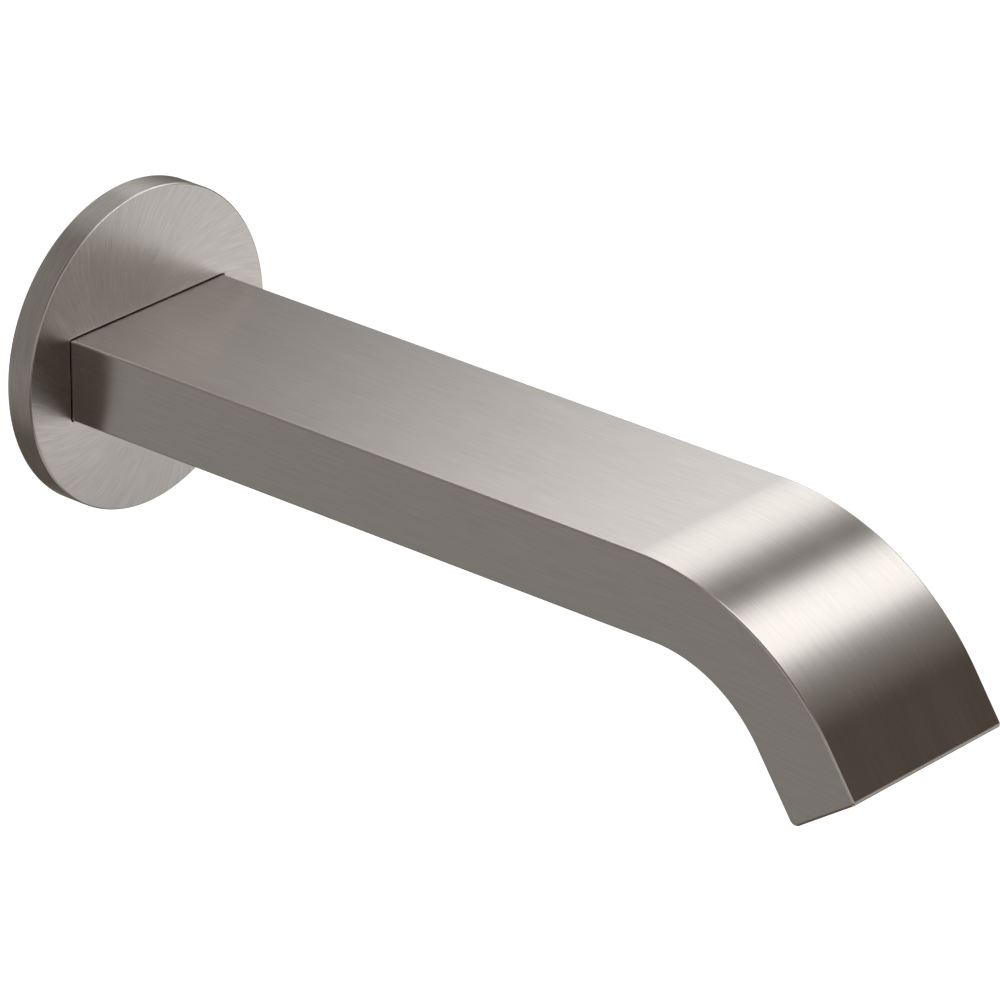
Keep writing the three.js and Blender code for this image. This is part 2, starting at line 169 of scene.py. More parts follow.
def rounded_outline(corners):
    """The points (a, b), outward normals and running lengths of a closed counterclockwise outline.

    Each corner is (a, b, fillet radius, steps of the fillet's arc)."""
    points = []
    normals = []
    for i, (a, b, radius, steps) in enumerate(corners):
        here = Vector((a, b))
        arriving = (here - Vector(corners[i - 1][:2])).normalized()
        leaving = (Vector(corners[(i + 1) % len(corners)][:2]) - here).normalized()
        turn = atan2(arriving.x * leaving.y - arriving.y * leaving.x, arriving.dot(leaving))
        side = 1 if turn > 0 else -1
        start = here - arriving * radius * tan(abs(turn) / 2)
        centre = start + Vector((-arriving.y, arriving.x)) * side * radius
        for turned in arc(0, turn, steps) if radius else [turn / 2]:
            normal = Vector((arriving.y, -arriving.x))
            normal.rotate(Matrix.Rotation(turned, 2))
            points.append(centre + normal * side * radius if radius else here)
            normals.append(normal)
    lengths = [0]
    for before, after in zip(points, points[1:] + points[:1]):
        lengths.append(lengths[-1] + (after - before).length)
    return points, normals, lengths


# ---- Round, outlined and blocky solids ----

ALONG_Y = Matrix.Rotation(-pi / 2, 4, "X")  # takes local +Z to +Y
INTO_MOUTH = Matrix.Translation(MOUTH) @ Matrix.Rotation(BEND_ANGLE - pi / 2, 4, "X")
ROUND_STEPS = 72
EASE_STEPS = 3
PAST = 1 * MM  # how far a cutting solid runs past the face that it cuts
HEXAGON_CORNER_RADIUS = 0.1 * MM
THREAD_ROWS = 8  # for each pitch of a thread
THREAD_STEEPNESS = 1.3  # over 1, so that the flanks leave flats on the crest and in the root
THREAD_SINK = 0.15  # makes the two flats equally wide


def running_lengths(points):
    lengths = [0]
    for before, after in zip(points, points[1:]):
        lengths.append(lengths[-1] + (Vector(after) - Vector(before)).length)
    return lengths


def closed_profile(corners):
    """An outline's points, the first one also at the end. Corners are (a, b, fillet radius)."""
    points = rounded_outline([(*corner, EASE_STEPS) for corner in corners])[0]
    return [tuple(point) for point in [*points, points[0]]]


def bar_profile(inner, low, outer, high, radius):
    """The closed outline of a rectangle between two corners, with its corners rounded."""
    corners = ((inner, low), (outer, low), (outer, high), (inner, high))
    return closed_profile([(*corner, radius) for corner in corners])


def shell(name, rings, place=ALONG_Y):
    """A skin round local Z. Each ring lists (radius, z) at equal turns and ends where it starts."""
    turns = arc(0, 2 * pi, len(rings[0]) - 1)
    widest = max(ring[0][0] for ring in rings)
    along = running_lengths([ring[0] for ring in rings])

    def around(ring):
        return [place @ Vector((r * cos(t), r * sin(t), z)) for (r, z), t in zip(ring, turns)]

    patches = Patches()
    uvs = [[(run, t * widest) for t in turns] for run in along]
    patches.grid([around(ring) for ring in rings], uvs)
    return patches.finish(name)


def plain_rings(profile):
    return [[corner] * (ROUND_STEPS + 1) for corner in profile]


def turned(name, profile, place=ALONG_Y):
    """A body turned about local Z. Its profile of (radius, z) is closed or ends on the axis."""
    return shell(name, plain_rings(profile), place)


def prism(name, outline, rows, place=ALONG_Y):
    """A solid with an outline about local Z. Each row is (growth of the outline, z).

    Rows that come back to the first one make a ring, and any others are closed with flat ends."""
    points, normals, lengths = outline

    def around(grow, z):
        return [place @ Vector((*(p + n * grow), z)) for p, n in zip(points, normals)]

    loops = [around(*row) for row in rows]
    patches = Patches()
    patches.grid(
        [loop + loop[:1] for loop in loops],
        [[(run, length) for length in lengths] for run in running_lengths(rows)],
    )
    if rows[0] != rows[-1]:
        for loop in (loops[0], loops[-1]):
            patches.face(loop, [tuple(point) for point in points])
    return patches.finish(name)


def rectangle(half_width, half_height, radius):
    corners = [(half_width * x, half_height * y) for x, y in ((1, -1), (1, 1), (-1, 1), (-1, -1))]
    return rounded_outline([(*corner, radius, EASE_STEPS) for corner in corners])


def hexagon(across_flats):
    reach = across_flats / sqrt(3)
    corners = [(reach * cos(turn), reach * sin(turn)) for turn in arc(0, 2 * pi, 6)[:-1]]
    return rounded_outline([(*corner, HEXAGON_CORNER_RADIUS, EASE_STEPS) for corner in corners])


def hex_key(name, across_flats, start, depth, place=ALONG_Y):
    """The solid that cuts a hexagonal socket into a face at that start."""
    return prism(name, hexagon(across_flats), [(0, start - PAST), (0, start + depth)], place)


def block(name, low, high, edge):
    """A box between two corners, with all of its edges and corners rounded."""
    centre = (Vector(low) + Vector(high)) / 2
    core = [(b - a) / 2 - edge for a, b in zip(low, high)]
    leans = [tan(a) for a in arc(0, pi / 4, EASE_STEPS)]
    patches = Patches()
    for w in range(3):
        u = (w + 1) % 3
        v = (w + 2) % 3
        across, along = [
            [(-core[i], -lean) for lean in reversed(leans)] + [(core[i], lean) for lean in leans]
            for i in (u, v)
        ]
        for side in (-1, 1):
            face = []
            for at_u, lean_u in across:
                row = []
                for at_v, lean_v in along:
                    inner = Vector()
                    out = Vector()
                    inner[u], inner[v], inner[w] = at_u, at_v, core[w] * side
                    out[u], out[v], out[w] = lean_u, lean_v, side
                    row.append(centre + inner + out.normalized() * edge)
                face.append(row)
            uvs = [
                [(at_u + lean_u * edge, at_v + lean_v * edge) for at_v, lean_v in along]
                for at_u, lean_u in across
            ]
            patches.grid(face, uvs)
    return patches.finish(name)


def thread_rings(start, end, crest, depth, pitch):
    """Rings of a thread. Each climbs one pitch in its turn, and the thread fades at both ends."""

    def corner(k, turn):
        z = min(max(start + pitch * (k / THREAD_ROWS + turn - 1), start), end)
        fade = min(1, (z - start) / pitch, (end - z) / pitch)
        slope = 1 - abs(2 * (k % THREAD_ROWS) / THREAD_ROWS - 1)
        height = min(1, max(0, THREAD_STEEPNESS * slope - THREAD_SINK))
        return crest - depth + depth * fade * height, z

    count = ceil((end - start) / pitch + 1) * THREAD_ROWS
    return [[corner(k, turn) for turn in arc(0, 1, ROUND_STEPS)] for k in range(count + 1)]


# ---- The arm ----

BEND_STEPS = 56
EDGE_STEPS = 4
LIP_STEPS = 6
SIDE_BRUSH_SAG = 3.4  # curvature of the brushing on the arm's sides past the bend, per metre


def arm_outline(inset, root, past, root_radius, front_radius, back_radius):
    """The arm's side profile in Y and Z, out along the top and then back along the underside."""
    half = ARM_HALF_HEIGHT - inset
    shift = half * tan(BEND_ANGLE / 2)
    end = MOUTH + MOUTH_OUT * past
    across = Vector((0, MOUTH_OUT.z, -MOUTH_OUT.y)) * half
    front = end + across
    back = end - across
    return rounded_outline([
        (root, half, root_radius, EDGE_STEPS),
        (BEND_CORNER - shift, half, BEND_TOP_RADIUS - inset, BEND_STEPS),
        (front.y, front.z, front_radius, LIP_STEPS),
        (back.y, back.z, back_radius, LIP_STEPS),
        (BEND_CORNER + shift, -half, BEND_UNDER_RADIUS + inset, BEND_STEPS),
        (root, -half, root_radius, EDGE_STEPS),
    ])


def side_uv(point):
    """Brushing on the flat sides runs level along the arm and sags a little over the bend."""
    beyond = max(0, BEND_CORNER + BEND_UNDER_RADIUS / 2 - point.y)
    return point.z + SIDE_BRUSH_SAG * beyond ** 2 / 2, point.y


def extruded_outline(outline, half_width, edge, name):
    """A solid with that side profile across the width, with its long edges rounded."""
    points, normals, lengths = outline
    count = len(points)
    rounding = arc(0, pi / 2, EDGE_STEPS)
    right = [(half_width - edge + edge * cos(a), edge - edge * sin(a)) for a in rounding]
    across = [(-x, inset) for x, inset in right] + [(x, inset) for x, inset in reversed(right)]
    skin = []
    uvs = []
    for i in range(count + 1):
        point = points[i % count]
        normal = normals[i % count]
        skin.append([Vector((x, *(point - normal * inset))) for x, inset in across])
        uvs.append([(x * (1 + inset / half_width), lengths[i]) for x, inset in across])
    patches = Patches()
    patches.grid(skin, uvs)
    for column in (0, -1):
        side = [row[column] for row in skin[:count]]
        rungs = [[side[i], side[count - 1 - i]] for i in range(count // 2)]
        patches.grid(rungs, [[side_uv(corner) for corner in rung] for rung in rungs])
    return patches.finish(name)


def spout_arm():
    skin = arm_outline(0, ARM_ROOT, 0, ARM_ROOT_EDGE, MOUTH_FRONT_RADIUS, MOUTH_BACK_RADIUS)
    hollow = arm_outline(ARM_WALL, ARM_ROOT + CAVITY_PAST, CAVITY_PAST, 0, 0, 0)
    arm = extruded_outline(skin, ARM_HALF_WIDTH, ARM_EDGE, "arm_shell")
    cavity = extruded_outline(hollow, ARM_HALF_WIDTH - ARM_WALL, CAVITY_FILLET, "arm_cavity")
    return smooth(cut(arm, cavity, *screw_holes(-ARM_HALF_HEIGHT)))


# ---- The escutcheon ----

FACE_BRUSH_TURN = -0.62  # tangent of the angle between the disc's brushing and its radius
FACE_BRUSH_SCALE = 0.7  # share of the disc's radius where the brushing has its true size
FACE_RINGS = 12
FACE_EDGE_STEPS = 5
WINDOW_SIDE_STEPS = 9
WINDOW_CORNER_STEPS = 6
WINDOW_TOP_STEPS = 30


def rectangle_reach(angle, half_width, half_height, radius):
    """Distance from the centre to a rounded rectangle's outline, in one direction."""
    c = abs(cos(angle))
    s = abs(sin(angle))
    inner_x = half_width - radius
    inner_z = half_height - radius
    if s * half_width <= c * inner_z:
        return half_width / c
    if c * half_height <= s * inner_x:
        return half_height / s
    along = inner_x * c + inner_z * s
    return along + sqrt(along ** 2 - inner_x ** 2 - inner_z ** 2 + radius ** 2)


def window_angles(half_width, half_height, radius):
    """Directions round the window, close together at its corners."""
    side_end = atan2(half_height - radius, half_width)
    top_start = atan2(half_height, half_width - radius)
    quarter = [
        *arc(0, side_end, WINDOW_SIDE_STEPS)[:-1],
        *arc(side_end, top_start, WINDOW_CORNER_STEPS)[:-1],
        *arc(top_start, pi / 2, WINDOW_TOP_STEPS)[:-1],
    ]
    mirrored = [pi - a for a in reversed(quarter[1:])]
    half = quarter + [pi / 2] + mirrored
    return half + [a + pi for a in half] + [2 * pi]


def face_uv(reach, angle, scale):
    """Spiral brushing: U is the same all along one brush line, and V runs along it."""
    spread = log(reach / scale)
    return (angle - FACE_BRUSH_TURN * spread) * scale, (spread + FACE_BRUSH_TURN * angle) * scale


def escutcheon():
    low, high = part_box("escutcheon")
    radius = high.x
    front = low.y
    half_width = ARM_HALF_WIDTH + WINDOW_GAP
    half_height = ARM_HALF_HEIGHT + WINDOW_GAP
    corner = ARM_EDGE + WINDOW_GAP
    angles = window_angles(half_width, half_height, corner)

    def window(grow, y):
        sizes = (half_width + grow, half_height + grow, corner + grow)
        return [(rectangle_reach(a, *sizes), y) for a in angles]

    def circle(reach, y):
        return [(reach, y)] * len(angles)

    def blend(inner, outer, share):
        return [(a[0] + (b[0] - a[0]) * share, a[1]) for a, b in zip(inner, outer)]

    lip = [
        window(WINDOW_EDGE * (1 - sin(a)), front + WINDOW_EDGE * (1 - cos(a)))
        for a in arc(pi / 2, 0, EASE_STEPS)
    ]
    face_outer = circle(radius - FACE_EDGE, front)
    face = lip[:-1] + [blend(lip[-1], face_outer, share) for share in arc(0, 1, FACE_RINGS)]
    edge = [
        circle(radius - FACE_EDGE + FACE_EDGE * sin(a), front + FACE_EDGE - FACE_EDGE * cos(a))
        for a in arc(0, pi / 2, FACE_EDGE_STEPS)
    ]
    rim = edge + [circle(radius, high.y - FACE_BACK_EDGE), circle(radius - FACE_BACK_EDGE, high.y)]
    inner = radius - FACE_WALL
    behind = front + FACE_WALL
    inside = [
        rim[-1],
        circle(inner, high.y),
        circle(inner, behind),
        window(0, behind),
        face[0],
    ]

    def place(loop):
        return [Vector((r * cos(a), y, r * sin(a))) for (r, y), a in zip(loop, angles)]

    patches = Patches()
    scale = FACE_BRUSH_SCALE * radius
    for loops in (face, inside):
        uvs = [[face_uv(r, a, scale) for (r, y), a in zip(loop, angles)] for loop in loops]
        patches.grid([place(loop) for loop in loops], uvs)
    along = [loop[0][1] - (radius - loop[0][0]) for loop in rim]
    patches.grid([place(loop) for loop in rim], [[(u, a * radius) for a in angles] for u in along])
    return smooth(patches.finish("escutcheon_shell"))


# ---- The supply adapter, its rings and the set screws ----

NOSE_RADIUS = 5.7 * MM
SHOULDER_Y = 0.2 * MM
THREAD_DEPTH = 1.1 * MM
THREAD_PITCH = 1.814 * MM
SUPPLY_BORE_RADIUS = 3.4 * MM
ADAPTER_KEY = 7 * MM
ADAPTER_KEY_DEPTH = 10 * MM
GROOVE_RADIUS = 4.5 * MM
GROOVE_HALF_WIDTH = 0.9 * MM
GROOVE_LIP = 0.15 * MM
O_RING_STEPS = 16
TURNED_EDGE = 0.4 * MM
SCREW_PITCH = 0.7 * MM
SCREW_THREAD_DEPTH = 0.36 * MM
SCREW_KEY = 2 * MM
SCREW_KEY_DEPTH = 1.6 * MM
SCREW_EDGE = 0.15 * MM
SCREW_CLEARANCE = 0.3 * MM
SCREW_HOLE_REACH = 5 * MM
SCREW_HOLE_CHAMFER = 0.25 * MM


def o_ring_middle(node):
    low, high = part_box(node)
    return (low.y + high.y) / 2


def groove(y):
    return [
        (NOSE_RADIUS, y - GROOVE_HALF_WIDTH - GROOVE_LIP),
        (NOSE_RADIUS - GROOVE_LIP, y - GROOVE_HALF_WIDTH),
        (GROOVE_RADIUS, y - GROOVE_HALF_WIDTH),
        (GROOVE_RADIUS, y + GROOVE_HALF_WIDTH),
        (NOSE_RADIUS - GROOVE_LIP, y + GROOVE_HALF_WIDTH),
        (NOSE_RADIUS, y + GROOVE_HALF_WIDTH + GROOVE_LIP),
    ]


def supply_adapter():
    low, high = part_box("supply_adapter")
    nose = [
        (SUPPLY_BORE_RADIUS, low.y + 2 * TURNED_EDGE),
        (SUPPLY_BORE_RADIUS + 2 * TURNED_EDGE, low.y),
        (NOSE_RADIUS - TURNED_EDGE, low.y),
        (NOSE_RADIUS, low.y + TURNED_EDGE),
        *groove(o_ring_middle("adapter_o_ring_front")),
        *groove(o_ring_middle("adapter_o_ring_rear")),
        (NOSE_RADIUS, SHOULDER_Y),
    ]
    thread = thread_rings(SHOULDER_Y, high.y, high.x, THREAD_DEPTH, THREAD_PITCH)
    bore = [
        (SUPPLY_BORE_RADIUS + TURNED_EDGE, high.y),
        (SUPPLY_BORE_RADIUS, high.y - TURNED_EDGE),
        nose[0],
    ]
    body = shell("adapter_shank", plain_rings(nose) + thread + plain_rings(bore))
    return smooth(cut(body, hex_key("adapter_key", ADAPTER_KEY, low.y, ADAPTER_KEY_DEPTH)))


def o_ring(node):
    low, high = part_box(node)
    section = (high.y - low.y) / 2
    middle = high.x - section
    level = o_ring_middle(node)
    turns = arc(0, 2 * pi, O_RING_STEPS)
    profile = [(middle + section * cos(a), level + section * sin(a)) for a in turns]
    return smooth(turned(node.replace("adapter", "nitrile"), profile))


def screw_axis(node):
    low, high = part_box(node)
    return Matrix.Translation(((low.x + high.x) / 2, (low.y + high.y) / 2, 0))


def screw_hole(name, node, surface):
    """The solid that cuts a set screw's hole, with a chamfer at a surface at that height."""
    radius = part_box(node)[1].x + SCREW_CLEARANCE
    profile = [
        (0, surface - PAST),
        (radius + SCREW_HOLE_CHAMFER + PAST, surface - PAST),
        (radius, surface + SCREW_HOLE_CHAMFER),
        (radius, surface + SCREW_HOLE_REACH),
        (0, surface + SCREW_HOLE_REACH),
    ]
    return turned(name, profile, screw_axis(node))


def screw_holes(surface):
    return [screw_hole(f"hole_{end}", f"set_screw_{end}", surface) for end in ("rear", "front")]


def set_screw(node):
    low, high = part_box(node)
    root = high.x - SCREW_THREAD_DEPTH
    start = low.z + SCREW_EDGE
    end = high.z - 2 * SCREW_EDGE
    outer = [(0, low.z), (root - SCREW_EDGE, low.z), (root, start)]
    thread = thread_rings(start, end, high.x, SCREW_THREAD_DEPTH, SCREW_PITCH)
    tip = [(root, end), (root - 2 * SCREW_EDGE, high.z), (0, high.z)]
    axis = screw_axis(node)
    body = shell(f"{node}_body", plain_rings(outer) + thread + plain_rings(tip), axis)
    return smooth(cut(body, hex_key(f"{node}_key", SCREW_KEY, low.z, SCREW_KEY_DEPTH, axis)))


# ---- The collar, the water tube and its clips ----

NOSE_GAP = 0.3 * MM
COLLAR_EDGE = 0.4 * MM
COLLAR_BORE_END_Y = -34.5 * MM
COLLAR_PASSAGE_RADIUS = 4.4 * MM
TUBE_RADIUS = 5 * MM
TUBE_WALL = 1 * MM
TUBE_BURR = 0.2 * MM
TUBE_GAP = 0.3 * MM
TUBE_BEND_RADIUS = 38 * MM
TUBE_BEND_STEPS = 36
TUBE_PAST_CORNER = 23.8 * MM
TUBE_SOCKET_DEPTH = 7 * MM
CLIP_EDGE = 0.6 * MM
CLIP_SPLIT_EDGE = 0.3 * MM


def inlet_collar():
    low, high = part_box("inlet_collar")
    nose_bore = NOSE_RADIUS + NOSE_GAP
    socket = TUBE_RADIUS + TUBE_GAP
    socket_end = low.y + TUBE_SOCKET_DEPTH
    profile = [
        (0, high.y + PAST),
        (nose_bore + 2 * COLLAR_EDGE + PAST, high.y + PAST),
        (nose_bore, high.y - 2 * COLLAR_EDGE),
        (nose_bore, COLLAR_BORE_END_Y),
        (COLLAR_PASSAGE_RADIUS, COLLAR_BORE_END_Y),
        (COLLAR_PASSAGE_RADIUS, socket_end),
        (socket, socket_end),
        (socket, low.y + COLLAR_EDGE),
        (socket + COLLAR_EDGE + PAST, low.y - PAST),
        (0, low.y - PAST),
    ]
    body = block("collar_block", low, high, COLLAR_EDGE)
    return smooth(cut(body, turned("collar_bore", profile), *screw_holes(low.z)))


def tube_stations():
    """Centre and slope of the water tube's sections, from its root to its outlet end."""
    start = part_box("waterway_tube")[1].y
    bend_start = BEND_CORNER + TUBE_BEND_RADIUS * tan(BEND_ANGLE / 2)

    def straight(run):
        return Vector((0, BEND_CORNER - run * cos(BEND_ANGLE), -run * sin(BEND_ANGLE))), BEND_ANGLE

    level = [(Vector((0, y, 0)), 0) for y in (start, start - TUBE_BURR)]
    bend = [
        (Vector((0, bend_start - TUBE_BEND_RADIUS * sin(a), TUBE_BEND_RADIUS * (cos(a) - 1))), a)
        for a in arc(0, BEND_ANGLE, TUBE_BEND_STEPS)
    ]
    return level + bend + [straight(TUBE_PAST_CORNER - TUBE_BURR), straight(TUBE_PAST_CORNER)]


def waterway_tube():
    stations = tube_stations()
    middle = len(stations) - 2
    outside = [TUBE_RADIUS - TUBE_BURR] + [TUBE_RADIUS] * middle + [TUBE_RADIUS - TUBE_BURR]
    inside = [TUBE_RADIUS - TUBE_WALL + (TUBE_RADIUS - radius) for radius in outside]
    rows = [*zip(stations, outside), *zip(reversed(stations), inside), (stations[0], outside[0])]
    turns = arc(0, 2 * pi, ROUND_STEPS)
    skin = []
    for (centre, slope), radius in rows:
        up = Vector((0, -sin(slope), cos(slope)))
        skin.append([centre + (Vector((cos(t), 0, 0)) + up * sin(t)) * radius for t in turns])
    runs = running_lengths([centre for (centre, slope), radius in rows])
    patches = Patches()
    patches.grid(skin, [[(t * TUBE_RADIUS, run) for t in turns] for run in runs])
    return smooth(patches.finish("copper_tube"))


def tube_clip(node):
    low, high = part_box(node)
    radius = TUBE_RADIUS + TUBE_GAP
    flare = radius + CLIP_EDGE / 2 + PAST
    profile = [
        (0, low.y - PAST),
        (flare, low.y - PAST),
        (radius, low.y + CLIP_EDGE / 2),
        (radius, high.y - CLIP_EDGE / 2),
        (flare, high.y + PAST),
        (0, high.y + PAST),
    ]
    body = block(f"{node}_body", low, high, CLIP_EDGE)
    hole = turned(f"{node}_hole", profile)
    split_low = (-TUBE_RADIUS / 2, low.y - PAST, radius / 2)
    split_high = (TUBE_RADIUS / 2, high.y + PAST, high.z + PAST)
    return smooth(cut(body, hole, block(f"{node}_split", split_low, split_high, CLIP_SPLIT_EDGE)))


# ---- Inside the escutcheon ----

CARRIER_EDGE = 0.4 * MM
CARRIER_GAP = 0.4 * MM
GRIP_SECTION = 1.4 * MM
GRIP_GAP = 0.3 * MM
GRIP_LIP_RADIUS = 0.2 * MM
GRIP_BACK_RADIUS = 0.4 * MM
GRIP_VALLEY = 0.4 * MM
GASKET_INNER_RADIUS = 27.2 * MM
GASKET_GAP = 0.3 * MM
GASKET_EDGE = 0.3 * MM
PIN_MARK_RADIUS = 1.4 * MM
PIN_MARK_DEPTH = 0.3 * MM
PIN_MARKS_X = (-14 * MM, 0, 14 * MM)
PIN_MARKS_Z = (-17 * MM, 17 * MM)


def arm_outline_across():
    return rectangle(ARM_HALF_WIDTH, ARM_HALF_HEIGHT, ARM_EDGE)


def pin_marks(y):
    """Marks of the mould's ejector pins in the carrier's back, above and below the window."""
    marks = []
    for i, (x, z) in enumerate([(x, z) for x in PIN_MARKS_X for z in PIN_MARKS_Z]):
        profile = [
            (0, y - PIN_MARK_DEPTH),
            (PIN_MARK_RADIUS, y - PIN_MARK_DEPTH),
            (PIN_MARK_RADIUS + PIN_MARK_DEPTH / 2 + PAST / 2, y + PAST),
            (0, y + PAST),
        ]
        axis = Matrix.Translation((x, 0, z)) @ ALONG_Y
        marks.append(turned(f"pin_mark_{i}", profile, axis))
    return marks


def escutcheon_carrier():
    low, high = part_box("escutcheon_carrier")
    gasket_low, gasket_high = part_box("wall_gasket")
    grip_low, grip_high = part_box("escutcheon_grip_ring")
    radius = high.x
    pocket_inner = GASKET_INNER_RADIUS - GASKET_GAP
    pocket_outer = gasket_high.x + GASKET_GAP
    pocket_end = gasket_low.y - GASKET_GAP
    profile = [
        (0, low.y),
        (radius - CARRIER_EDGE, low.y),
        (radius, low.y + CARRIER_EDGE),
        (radius, high.y - CARRIER_EDGE),
        (radius - CARRIER_EDGE, high.y),
        (pocket_outer + CARRIER_EDGE / 2, high.y),
        (pocket_outer, high.y - CARRIER_EDGE / 2),
        (pocket_outer, pocket_end),
        (pocket_inner, pocket_end),
        (pocket_inner, high.y - CARRIER_EDGE / 2),
        (pocket_inner - CARRIER_EDGE / 2, high.y),
        (0, high.y),
    ]
    grip = 2 * GRIP_GAP + GRIP_SECTION
    window = [
        (CARRIER_GAP + CARRIER_EDGE + PAST, low.y - PAST),
        (CARRIER_GAP, low.y + CARRIER_EDGE),
        (CARRIER_GAP, grip_low.y - GRIP_GAP),
        (grip, grip_low.y - GRIP_GAP),
        (grip, grip_high.y + GRIP_GAP),
        (CARRIER_GAP, grip_high.y + GRIP_GAP),
        (CARRIER_GAP, high.y - CARRIER_EDGE),
        (CARRIER_GAP + CARRIER_EDGE + PAST, high.y + PAST),
    ]
    body = turned("carrier_disc", profile)
    opening = prism("carrier_window", arm_outline_across(), window)
    return smooth(cut(body, opening, *pin_marks(high.y)))


def escutcheon_grip_ring():
    """A rubber loop round the arm, with two soft lips on its inner side."""
    low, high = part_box("escutcheon_grip_ring")
    inner = GRIP_GAP
    outer = GRIP_GAP + GRIP_SECTION
    section = closed_profile([
        (inner, low.y, GRIP_LIP_RADIUS),
        (outer, low.y, GRIP_BACK_RADIUS),
        (outer, high.y, GRIP_BACK_RADIUS),
        (inner, high.y, GRIP_LIP_RADIUS),
        (inner + GRIP_VALLEY, (low.y + high.y) / 2, GRIP_LIP_RADIUS),
    ])
    return smooth(prism("grip_loop", arm_outline_across(), section))


def wall_gasket():
    low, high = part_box("wall_gasket")
    profile = bar_profile(GASKET_INNER_RADIUS, low.y, high.x, high.y, GASKET_EDGE)
    return smooth(turned("foam_ring", profile))


# ---- The outlet, drawn about the middle of the mouth with local +Z into the arm ----

MOUTH_RECESS = 0.8 * MM
OUTLET_GAP = 0.3 * MM
OUTLET_HALF_WIDTH = ARM_HALF_WIDTH - ARM_WALL - OUTLET_GAP
OUTLET_HALF_HEIGHT = ARM_HALF_HEIGHT - ARM_WALL - OUTLET_GAP
FRAME_DEPTH = 8 * MM
FRAME_WALL = 2.6 * MM
FRAME_LIP = 1 * MM
SEAL_DEPTH = 1.5 * MM
SEAL_EDGE = 0.3 * MM
SEAL_VALLEY = 0.25 * MM
MANIFOLD_DEPTH = 7 * MM
MANIFOLD_CHAMBER_DEPTH = 2.4 * MM
MANIFOLD_LEDGE = 1.2 * MM
GRID_DEPTH = 4 * MM
GRID_WALL = 0.6 * MM
GRID_CELLS = (10, 2)
GRID_EDGE = 0.12 * MM
SCREEN_DEPTH = 0.4 * MM
SCREEN_RIM = 0.8 * MM
SCREEN_EDGE = 0.12 * MM
SCREEN_WIRES = (33, 7)
WIRE_RADIUS = 0.095 * MM
WIRE_SIDES = 6
WIRE_STEPS = 4  # for each wire that it crosses
MOULDED_EDGE = 0.3 * MM

FRAME_TOP = MOUTH_RECESS + FRAME_DEPTH
SEAL_BOTTOM = FRAME_TOP + OUTLET_GAP
SEAL_TOP = SEAL_BOTTOM + SEAL_DEPTH
INSIDE = (OUTLET_HALF_WIDTH - FRAME_WALL, OUTLET_HALF_HEIGHT - FRAME_WALL)
INSERT = (INSIDE[0] - OUTLET_GAP, INSIDE[1] - OUTLET_GAP)


def rounded_slab(name, half_width, half_height, bottom, top):
    """A moulded slab across the outlet, with its corners and both of its rims rounded."""
    bend = arc(0, pi / 2, EASE_STEPS)
    below = [(MOULDED_EDGE * (sin(a) - 1), bottom + MOULDED_EDGE * (1 - cos(a))) for a in bend]
    above = [(MOULDED_EDGE * (cos(a) - 1), top - MOULDED_EDGE * (1 - sin(a))) for a in bend]
    outline = rectangle(half_width, half_height, 2 * MOULDED_EDGE)
    return prism(name, outline, below + above, INTO_MOUTH)


def outlet_frame():
    window = rectangle(INSIDE[0] - FRAME_LIP, INSIDE[1] - FRAME_LIP, MOULDED_EDGE)
    opening = [
        (MOULDED_EDGE + PAST, MOUTH_RECESS - PAST),
        (0, MOUTH_RECESS + MOULDED_EDGE),
        (0, MOUTH_RECESS + FRAME_LIP + PAST),
    ]
    seat = [
        (0, MOUTH_RECESS + FRAME_LIP),
        (0, FRAME_TOP - MOULDED_EDGE),
        (MOULDED_EDGE + PAST, FRAME_TOP + PAST),
    ]
    outside = (OUTLET_HALF_WIDTH, OUTLET_HALF_HEIGHT)
    return smooth(cut(
        rounded_slab("cassette_frame", *outside, MOUTH_RECESS, FRAME_TOP),
        prism("cassette_window", window, opening, INTO_MOUTH),
        prism("cassette_seat", rectangle(*INSIDE, MOULDED_EDGE / 2), seat, INTO_MOUTH),
    ))


def outlet_seal():
    """A flat rubber seal with two lips on each face."""
    section = closed_profile([
        (0, SEAL_BOTTOM, SEAL_EDGE),
        (FRAME_WALL / 2, SEAL_BOTTOM + SEAL_VALLEY, SEAL_EDGE),
        (FRAME_WALL, SEAL_BOTTOM, SEAL_EDGE),
        (FRAME_WALL, SEAL_TOP, SEAL_EDGE),
        (FRAME_WALL / 2, SEAL_TOP - SEAL_VALLEY, SEAL_EDGE),
        (0, SEAL_TOP, SEAL_EDGE),
    ])
    return smooth(prism("seal_loop", rectangle(*INSIDE, SEAL_EDGE), section, INTO_MOUTH))


